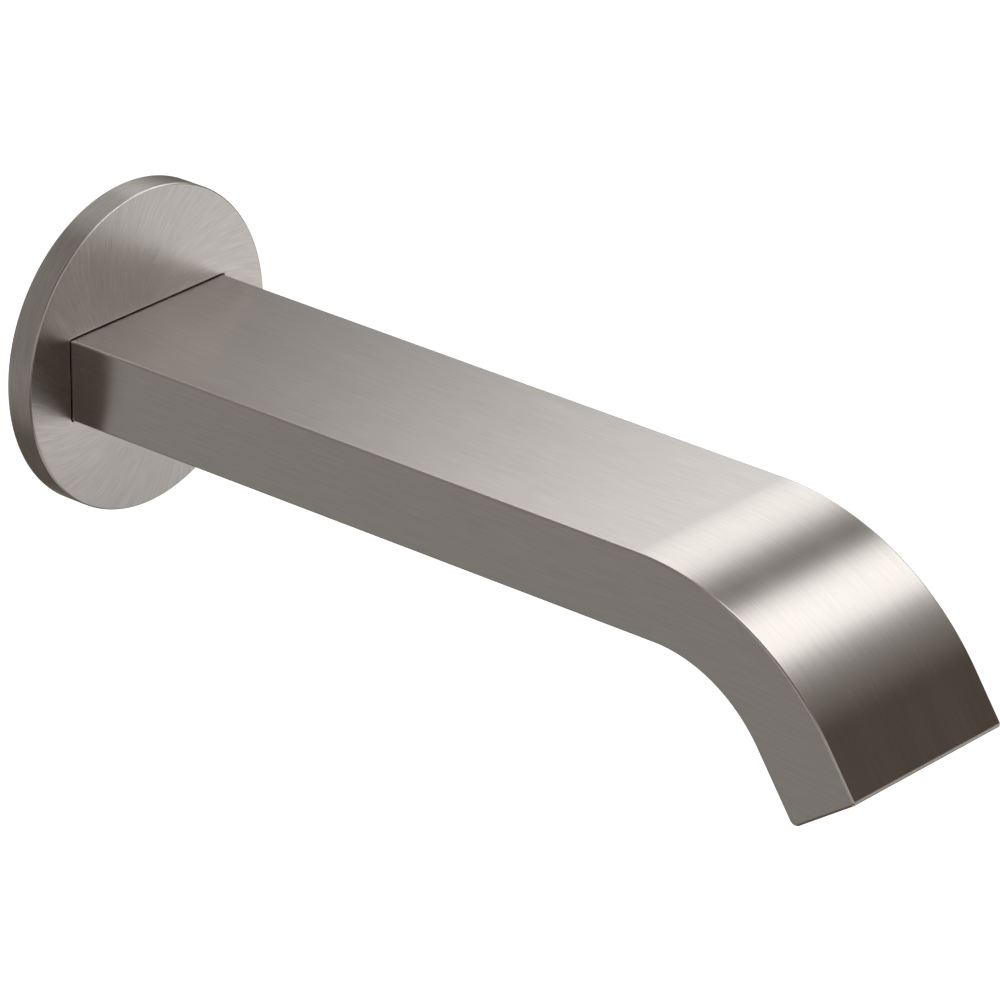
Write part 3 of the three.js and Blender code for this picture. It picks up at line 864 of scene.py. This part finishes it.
def pierced(name, half, bottom, top, counts, wall, edge):
    """A slab with rows of rectangular holes and eased edges. The holes' tiles meet in the walls."""
    pitch = [(2 * half[i] - wall) / counts[i] for i in (0, 1)]
    patches = Patches()

    def seams(axis, inset):
        inner = [(i - counts[axis] / 2) * pitch[axis] for i in range(1, counts[axis])]
        return [inset - half[axis], *inner, half[axis] - inset]

    def add(rows):
        """Each row is a path of (x, y) and its height."""
        points = [[INTO_MOUTH @ Vector((x, y, z)) for x, y in path] for path, z in rows]
        uvs = [[(x + y, z + run) for x, y in path] for run, (path, z) in enumerate(rows)]
        patches.grid(points, uvs)

    def around(xs, ys):
        out = [(x, ys[0]) for x in xs] + [(xs[-1], y) for y in ys[1:]]
        back = [(x, ys[-1]) for x in xs[-2::-1]] + [(xs[0], y) for y in ys[-2::-1]]
        return out + back

    def hole(cell, grow):
        ends = []
        for at, count, step in zip(cell, counts, pitch):
            middle = (at - (count - 1) / 2) * step
            reach = (step - wall) / 2 + grow
            ends.append((middle - reach, middle + reach))
        return around(*ends)

    for i in range(counts[0]):
        for j in range(counts[1]):
            tile = around(seams(0, edge)[i:i + 2], seams(1, edge)[j:j + 2])
            rim = hole((i, j), edge)
            wall_path = hole((i, j), 0)
            add([
                (tile, bottom),
                (rim, bottom),
                (wall_path, bottom + edge),
                (wall_path, top - edge),
                (rim, top),
                (tile, top),
            ])
    sides = [(edge, bottom), (0, bottom + edge), (0, top - edge), (edge, top)]
    add([(around(seams(0, inset), seams(1, inset)), z) for inset, z in sides])
    return patches.finish(name)


def flow_straightener():
    low = MOUTH_RECESS + FRAME_LIP + OUTLET_GAP
    high = low + GRID_DEPTH
    return smooth(pierced("straightener_grid", INSERT, low, high, GRID_CELLS, GRID_WALL, GRID_EDGE))


def wire(patches, along, other, at, reach, pitch, parity, level):
    """One wire of a screen along local X or Y, bent over and under the wires that it crosses."""
    runs = arc(-reach, reach, 2 * ceil(reach / pitch) * WIRE_STEPS)
    turns = arc(0, 2 * pi, WIRE_SIDES)
    rings = []
    for run in runs:
        ring = []
        for t in turns:
            point = Vector()
            point[along] = run
            point[other] = at + WIRE_RADIUS * cos(t)
            point.z = level + parity * WIRE_RADIUS * cos(pi * run / pitch) + WIRE_RADIUS * sin(t)
            ring.append(INTO_MOUTH @ point)
        rings.append(ring)
    patches.grid(rings, [[(t * WIRE_RADIUS, run) for t in turns] for run in runs])
    for ring in (rings[0], rings[-1]):
        patches.face(ring[:-1], [(t * WIRE_RADIUS, 0) for t in turns[:-1]])


def screen(name, level):
    """A woven wire screen with a pressed rim."""
    lowest = MOUTH_RECESS + FRAME_LIP + OUTLET_GAP + GRID_DEPTH + OUTLET_GAP
    bottom = lowest + level * (SCREEN_DEPTH + OUTLET_GAP)
    top = bottom + SCREEN_DEPTH
    field = [half - SCREEN_RIM for half in INSERT]
    patches = Patches()
    for along, other in ((0, 1), (1, 0)):
        count = SCREEN_WIRES[other]
        pitch = 2 * field[other] / count
        crossed = 2 * field[along] / SCREEN_WIRES[along]
        for i in range(count):
            index = i - (count - 1) // 2
            parity = (-1) ** (index + along)
            reach = field[along] + SCREEN_RIM / 2
            wire(patches, along, other, index * pitch, reach, crossed, parity, (bottom + top) / 2)
    section = bar_profile(0, bottom, SCREEN_RIM, top, SCREEN_EDGE)
    rim = prism(f"{name}_rim", rectangle(*field, SCREEN_EDGE), section, INTO_MOUTH)
    patches.bm.from_mesh(rim.data)
    bpy.data.meshes.remove(rim.data)
    return smooth(patches.finish(f"{name}_mesh"))


def outlet_manifold():
    bottom = SEAL_TOP + OUTLET_GAP
    top = bottom + MANIFOLD_DEPTH
    ceiling = bottom + MANIFOLD_CHAMBER_DEPTH
    ledge = ceiling + MANIFOLD_LEDGE
    socket = TUBE_RADIUS + TUBE_GAP
    chamber = [(MOULDED_EDGE + PAST, bottom - PAST), (0, bottom + MOULDED_EDGE), (0, ceiling)]
    passage = [
        (0, ceiling - PAST),
        (TUBE_RADIUS - TUBE_WALL, ceiling - PAST),
        (TUBE_RADIUS - TUBE_WALL, ledge),
        (socket, ledge),
        (socket, top - MOULDED_EDGE),
        (socket + MOULDED_EDGE + PAST, top + PAST),
        (0, top + PAST),
    ]
    half_height = OUTLET_HALF_HEIGHT - OUTLET_GAP
    return smooth(cut(
        rounded_slab("manifold_block", OUTLET_HALF_WIDTH, half_height, bottom, top),
        prism("manifold_chamber", rectangle(*INSIDE, MOULDED_EDGE), chamber, INTO_MOUTH),
        turned("manifold_passage", passage, INTO_MOUTH),
    ))


# ---- Materials ----

NICKEL_DARK = (0.540, 0.516, 0.494)
NICKEL_LIGHT = (0.660, 0.630, 0.604)
# The pale tint that the nickel's rounded edges are lightened towards: a painted highlight.
NICKEL_EDGE_HIGHLIGHT = (0.95, 0.92, 0.89)
NICKEL_ROUGHNESS_SPREAD = 0.01
NOISE_GAIN = 5.0  # takes the noise node's factor, mostly within 0.3..0.7, to about -1..1


class Nodes:
    """The node tree of a material or a world, with short ways to add and link its nodes."""

    def __init__(self, owner):
        owner.use_nodes = True
        self.owner = owner
        self.tree = owner.node_tree

    def add(self, kind, inputs=None, **settings):
        node = self.tree.nodes.new(kind)
        for key, value in settings.items():
            setattr(node, key, value)
        for key, value in (inputs or {}).items():
            self.set(node, key, value)
        return node

    def set(self, node, key, value):
        if isinstance(value, bpy.types.NodeSocket):
            self.tree.links.new(value, node.inputs[key])
        else:
            node.inputs[key].default_value = value

    def finish(self, **values):
        """Sets or links the Principled BSDF's sockets and returns the material."""
        for key, value in values.items():
            self.set(self.tree.nodes["Principled BSDF"], key.replace("_", " "), value)
        return self.owner

    def coordinates(self, kind):
        return self.add("ShaderNodeTexCoord").outputs[kind]

    def brush_map(self):
        return self.add("ShaderNodeUVMap", uv_map="brush").outputs[0]

    def noise(self, place, scale, detail=2.0, roughness=0.5):
        """Noise about 0, mostly within -1..1, at a place multiplied by a scale for each axis."""
        stretched = self.add("ShaderNodeMapping", {"Vector": place, "Scale": scale}).outputs[0]
        grain = {"Vector": stretched, "Scale": 1.0, "Detail": detail, "Roughness": roughness}
        factor = self.add("ShaderNodeTexNoise", grain).outputs["Fac"]
        return self.times(self.plus(factor, -0.5), NOISE_GAIN)

    def bump(self, height, depth):
        raised = {"Height": height, "Strength": 1.0, "Distance": depth}
        return self.add("ShaderNodeBump", raised).outputs[0]

    def map(self, value, low, high, to_low, to_high, interpolation="LINEAR"):
        ends = {"From Min": low, "From Max": high, "To Min": to_low, "To Max": to_high}
        node = self.add("ShaderNodeMapRange", ends, interpolation_type=interpolation)
        self.set(node, "Value", value)
        return node.outputs[0]

    def math(self, operation, a, b):
        return self.add("ShaderNodeMath", {0: a, 1: b}, operation=operation).outputs[0]

    def plus(self, a, b):
        return self.math("ADD", a, b)

    def times(self, a, b):
        return self.math("MULTIPLY", a, b)

    def dot(self, a, b):
        node = self.add("ShaderNodeVectorMath", {0: a, 1: b}, operation="DOT_PRODUCT")
        return node.outputs["Value"]

    def mix(self, factor, low, high):
        """A colour between two, each of them a socket or three numbers."""
        mix = self.add("ShaderNodeMix", {0: factor}, data_type="RGBA")
        for key, colour in ((6, low), (7, high)):
            linked = isinstance(colour, bpy.types.NodeSocket)
            self.set(mix, key, colour if linked else (*colour, 1))
        return mix.outputs[2]


def brushed_nickel(
    name, edge_axis, roughness, anisotropic, stroke_width, stroke_length, stroke_depth, contrast
):
    """Satin nickel. U of the brush map runs across the brush strokes and V along them.

    The rounded edges, where the normal leans away from the edge axis, are lightened in colour: a
    painted highlight standing in for the bright line of light along them."""
    nodes = Nodes(bpy.data.materials.new(name))
    uv = nodes.brush_map()
    across = 1 / stroke_width
    along = 1 / stroke_length
    strokes = nodes.noise(uv, (across, along, 1), 1.0)
    hairs = nodes.noise(uv, (across * 2.6, along * 2, 1), 1.0)
    bands = nodes.noise(uv, (across / 14, along / 6, 1))
    uneven = nodes.plus(strokes, nodes.times(nodes.plus(hairs, bands), 0.5))
    shade = nodes.map(nodes.times(uneven, contrast), -2, 2, 0, 1)
    brushed = nodes.mix(shade, NICKEL_DARK, NICKEL_LIGHT)
    # The rounded edges' colour is lightened towards a pale tint here: a painted highlight,
    # strongest where the normal leans halfway from the edge axis.
    lean = nodes.dot(nodes.coordinates("Normal"), edge_axis)
    square = nodes.times(lean, lean)
    edge = nodes.times(nodes.math("SUBTRACT", 1.0, square), nodes.times(square, 4.0))
    tangent = nodes.add("ShaderNodeTangent", direction_type="UV_MAP", uv_map="brush")
    least = roughness - NICKEL_ROUGHNESS_SPREAD
    most = roughness + NICKEL_ROUGHNESS_SPREAD
    return nodes.finish(
        Base_Color=nodes.mix(edge, brushed, NICKEL_EDGE_HIGHLIGHT),
        Metallic=1.0,
        Roughness=nodes.map(bands, -1, 1, least, most),
        Anisotropic=anisotropic,
        Normal=nodes.bump(strokes, stroke_depth),
        Tangent=tangent.outputs[0],
    )


def worked_metal(name, dark, light, roughness, scale, depth):
    """Bare metal with fine tool marks across U of the brush map and uneven handling tarnish."""
    nodes = Nodes(bpy.data.materials.new(name))
    uv = nodes.brush_map()
    place = nodes.coordinates("Object")
    marks = nodes.noise(uv, (scale, scale / 80, 1), 3.0, 0.6)
    tarnish = nodes.noise(place, (220, 220, 220), 5.0, 0.65)
    shade = nodes.map(nodes.plus(nodes.times(marks, 0.4), tarnish), -1.4, 1.2, 0, 1)
    return nodes.finish(
        Base_Color=nodes.mix(shade, dark, light),
        Metallic=1.0,
        Roughness=nodes.map(tarnish, -1, 1, roughness + 0.12, roughness - 0.04),
        Normal=nodes.bump(marks, depth),
    )


def machined_brass():
    dark = (0.40, 0.25, 0.09)
    light = (0.74, 0.54, 0.25)
    return worked_metal("machined_brass", dark, light, roughness=0.30, scale=5200, depth=1.5e-6)


def drawn_copper():
    dark = (0.40, 0.16, 0.09)
    light = (0.80, 0.42, 0.28)
    return worked_metal("drawn_copper", dark, light, roughness=0.34, scale=4200, depth=1.0e-6)


def stainless_steel():
    dark = (0.36, 0.36, 0.35)
    light = (0.60, 0.59, 0.57)
    return worked_metal("stainless_steel", dark, light, roughness=0.30, scale=6500, depth=0.8e-6)


def moulding(name, dark, light, roughness, scale, depth):
    """A moulded skin with a fine grain, slight flow marks and rubbed, glossier spots."""
    nodes = Nodes(bpy.data.materials.new(name))
    place = nodes.coordinates("Object")
    grain = nodes.noise(place, (scale, scale, scale), 3.0, 0.6)
    flow = nodes.noise(place, (60, 160, 90), 3.0, 0.55)
    rubbed = nodes.noise(place, (330, 330, 330), 4.0, 0.6)
    shade = nodes.map(nodes.plus(nodes.times(grain, 0.3), flow), -1.3, 1.3, 0, 1)
    return nodes.finish(
        Base_Color=nodes.mix(shade, dark, light),
        Roughness=nodes.map(rubbed, -1, 1, roughness + 0.07, roughness - 0.07),
        Normal=nodes.bump(nodes.plus(grain, nodes.times(flow, 2.0)), depth),
    )


def moulded_plastic():
    dark = (0.66, 0.65, 0.61)
    light = (0.78, 0.77, 0.74)
    return moulding("moulded_plastic", dark, light, roughness=0.42, scale=5200, depth=1.0e-6)


def black_rubber():
    dark = (0.014, 0.014, 0.015)
    light = (0.040, 0.039, 0.038)
    return moulding("black_rubber", dark, light, roughness=0.64, scale=4200, depth=2.5e-6)


def gasket_foam():
    """Closed-cell foam with an open skin of small round cells."""
    nodes = Nodes(bpy.data.materials.new("gasket_foam"))
    place = nodes.coordinates("Object")
    cells = nodes.add("ShaderNodeTexVoronoi", {"Vector": place, "Scale": 1900}).outputs["Distance"]
    cloud = nodes.noise(place, (260, 260, 260), 4.0, 0.6)
    # The colour is darker where the cells' bump is low, in their hollows: painted shade, over the
    # foam's own uneven tone.
    shade = nodes.map(nodes.plus(cells, nodes.times(cloud, 0.2)), 0.1, 0.8, 0, 1)
    return nodes.finish(
        Base_Color=nodes.mix(shade, (0.018, 0.018, 0.019), (0.075, 0.074, 0.073)),
        Roughness=nodes.map(cloud, -1, 1, 0.98, 0.86),
        Normal=nodes.bump(cells, 0.12 * MM),
    )


def paint(obj, material):
    obj.data.materials.clear()
    obj.data.materials.append(material)


def piece(obj, material, body, node):
    paint(obj, material)
    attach(obj, body)
    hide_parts(node)


# ---- The pieces ----

arm_nickel = brushed_nickel(
    "arm_nickel",
    edge_axis=(1, 0, 0),
    roughness=0.287,
    anisotropic=0.76,
    stroke_width=0.55 * MM,
    stroke_length=12 * MM,
    stroke_depth=0.001 * MM,
    contrast=0.75,
)
face_nickel = brushed_nickel(
    "face_nickel",
    edge_axis=(0, 1, 0),
    roughness=0.36,
    anisotropic=0.6,
    stroke_width=0.5 * MM,
    stroke_length=8 * MM,
    stroke_depth=0.006 * MM,
    contrast=1.3,
)
brass = machined_brass()
copper = drawn_copper()
steel = stainless_steel()
plastic = moulded_plastic()
rubber = black_rubber()
foam = gasket_foam()

piece(spout_arm(), arm_nickel, "spout", "spout_arm")
piece(inlet_collar(), brass, "spout", "inlet_collar")
piece(waterway_tube(), copper, "spout", "waterway_tube")
piece(outlet_manifold(), plastic, "spout", "outlet_manifold")
piece(supply_adapter(), brass, "adapter", "supply_adapter")
for end in ("rear", "front"):
    piece(o_ring(f"adapter_o_ring_{end}"), rubber, "adapter", f"adapter_o_ring_{end}")
    piece(tube_clip(f"tube_clip_{end}"), plastic, "spout", f"tube_clip_{end}")
    piece(set_screw(f"set_screw_{end}"), steel, f"{end}_screw", f"set_screw_{end}")
piece(escutcheon(), face_nickel, "escutcheon_set", "escutcheon")
piece(escutcheon_carrier(), plastic, "escutcheon_set", "escutcheon_carrier")
piece(escutcheon_grip_ring(), rubber, "escutcheon_set", "escutcheon_grip_ring")
piece(wall_gasket(), foam, "escutcheon_set", "wall_gasket")
piece(outlet_frame(), plastic, "outlet_cassette", "outlet_frame")
piece(outlet_seal(), rubber, "outlet_cassette", "outlet_seal")
piece(flow_straightener(), plastic, "outlet_cassette", "flow_straightener")
for level, name in enumerate(("screen_lower", "screen_upper")):
    piece(screen(name, level), steel, "outlet_cassette", name)

# ---- Camera, light and floor ----

CAMERA_AZIMUTH = radians(-48.98)
CAMERA_ELEVATION = radians(25.13)
CAMERA_ROLL = radians(0.21)
CAMERA_DISTANCE = 1.6553
CAMERA_ASIDE = 0.0772  # of the origin, to the camera's right
CAMERA_BELOW = 0.0334  # the origin, as the camera sees it
LENS = 288.25
FLOOR_DROP = 2.5
FLOOR_HALF_WIDTH = 60
REAR_FADE = [0.07, 0.18, 0.27, 0.27, 0.45]  # the brightness of a soft edge's steps, upwards
FRONT_FADE = [0.85, 0.56, 0.38, 0.27, 0.21, 0.16, 0.11, 0.05]


def camera():
    flat = cos(CAMERA_ELEVATION)
    back = Vector((sin(CAMERA_AZIMUTH) * flat, -cos(CAMERA_AZIMUTH) * flat, sin(CAMERA_ELEVATION)))
    level = Vector((-back.y, back.x, 0)).normalized()
    upright = back.cross(level)
    right = level * cos(CAMERA_ROLL) + upright * sin(CAMERA_ROLL)
    up = back.cross(right)
    place = right * CAMERA_ASIDE - up * CAMERA_BELOW + back * CAMERA_DISTANCE
    data = bpy.data.cameras.new("camera")
    data.lens = LENS
    data.clip_start = 0.01
    obj = bpy.data.objects.new("camera", data)
    obj.matrix_world = Matrix.Translation(place) @ Matrix((right, up, back)).transposed().to_4x4()
    bpy.context.scene.collection.objects.link(obj)
    bpy.context.scene.camera = obj


def softbox(name, centre, facing, size, brightness):
    """An area light at a centre, facing a point, with its first side as near along X as it can be.

    The camera doesn't see it, and its brightness is its radiance."""
    data = bpy.data.lights.new(name, "AREA")
    data.shape = "RECTANGLE"
    data.size, data.size_y = size
    data.energy = brightness * size[0] * size[1] * pi
    obj = bpy.data.objects.new(name, data)
    ahead = (Vector(facing) - Vector(centre)).normalized()
    along = (Vector((1, 0, 0)) - ahead * ahead.x).normalized()
    turn = Matrix((along, ahead.cross(along) * -1, -ahead)).transposed()
    obj.matrix_world = Matrix.Translation(centre) @ turn.to_4x4()
    obj.visible_camera = False
    bpy.context.scene.collection.objects.link(obj)


def strip_softbox(name, low_angle, high_angle, brightness, distance, aside, length):
    """A long softbox parallel to X that fills a span of angles about the bend, from +Y upwards."""
    middle = radians((low_angle + high_angle) / 2)
    half = radians((high_angle - low_angle) / 2)
    away = Vector((0, cos(middle), sin(middle))) * distance * cos(half)
    bend = Vector((0, BEND_CORNER, 0))
    centre = bend + away + Vector((aside, 0, 0))
    facing = bend + Vector((aside, 0, 0))
    softbox(name, centre, facing, (length, 2 * distance * sin(half)), brightness)


def fade(name, start, step, brightnesses, **where):
    """A strip's soft edge: a row of narrow softboxes, one for each step of angle."""
    for i, brightness in enumerate(brightnesses):
        low_angle = start + step * i
        strip_softbox(f"{name}_{i}", low_angle, low_angle + step, brightness, **where)


def lights():
    """Two strips with a soft edge for the bend's bright bands, and a box for the escutcheon."""
    rear = {"distance": 0.485, "aside": 0.6, "length": 0.8}
    front = {"distance": 0.40, "aside": 0.35, "length": 0.7}
    strip_softbox("rear_softbox", 35.5, 66.4, 1.45, **rear)
    fade("rear_fade", 26, 1.9, REAR_FADE, **rear)
    strip_softbox("front_softbox", 88.7, 116, 1.85, **front)
    fade("front_fade", 116, 4, FRONT_FADE, **front)
    softbox("low_softbox", (0.29, -0.25, -0.13), (0, 0, 0), (0.18, 0.18), 0.64)


LOBES = [
    # direction, angles from it where the lobe is full and where it ends, brightness
    ((-0.66, 0.62, -0.42), 8, 24, 0.285),  # for the arm's side, as the photo shows it
    ((-0.70, 0.59, 0.38), 14, 50, 0.12),  # for the escutcheon's rim
    ((0.65, -0.63, -0.41), 14, 42, 0.42),  # for its face
    ((0.58, 0.59, 0.56), 8, 30, 0.24),  # for the arm's top
    ((0.0, 0.98, 0.15), 15, 38, 0.8),
    ((-0.2, -0.95, 0.25), 12, 34, 0.5),
    ((0.62, 0.54, -0.57), 6, 20, 0.3),
    ((-0.3, -0.3, -0.9), 10, 28, 0.5),
    ((0.25, 0.59, 0.77), 6, 20, 0.35),
    ((-0.1, 0.59, -0.8), 10, 30, 0.07),
    ((-1.0, 0.0, 0.05), 10, 30, 0.4),
    ((0.0, 0.0, 1.0), 8, 26, 0.35),
]
AMBIENT = (0.072, 0.054, 0.038)


def world():
    """Dim warm surroundings with a few soft lobes, and plain white where the camera sees them."""
    made = bpy.data.worlds.new("studio")
    made.use_nodes = True
    bpy.context.scene.world = made
    nodes = Nodes(made)
    direction = nodes.coordinates("Generated")
    total = 0.0
    for towards, full, end, brightness in LOBES:
        facing = nodes.dot(direction, Vector(towards).normalized())
        edges = (cos(radians(end)), cos(radians(full)))
        lobe = nodes.map(facing, *edges, 0, brightness, "SMOOTHSTEP")
        total = nodes.plus(lobe, total)
    light = nodes.add("ShaderNodeVectorMath", {0: total, 1: AMBIENT}, operation="ADD").outputs[0]
    seen = nodes.add("ShaderNodeLightPath").outputs["Is Camera Ray"]
    colour = nodes.mix(seen, light, (1, 1, 1))
    nodes.set(nodes.tree.nodes["Background"], "Color", colour)


def floor():
    """A plain pale floor far below. It lights and shades nothing that the metal reflects."""
    corners = [
        Vector((x * FLOOR_HALF_WIDTH, y * FLOOR_HALF_WIDTH, arm_low.z - FLOOR_DROP))
        for x, y in ((-1, -1), (1, -1), (1, 1), (-1, 1))
    ]
    patches = Patches()
    patches.face(corners, [corner[:2] for corner in corners])
    obj = patches.finish("floor")
    nodes = Nodes(bpy.data.materials.new("floor_white"))
    white = nodes.finish(
        Base_Color=(0.9, 0.9, 0.9, 1),
        Roughness=0.9,
        Emission_Color=(1, 1, 1, 1),
        Emission_Strength=1.0,
    )
    paint(obj, white)
    obj.visible_glossy = False
    obj.visible_diffuse = False


camera()
world()
floor()
lights()
bpy.context.scene.view_settings.view_transform = "Standard"
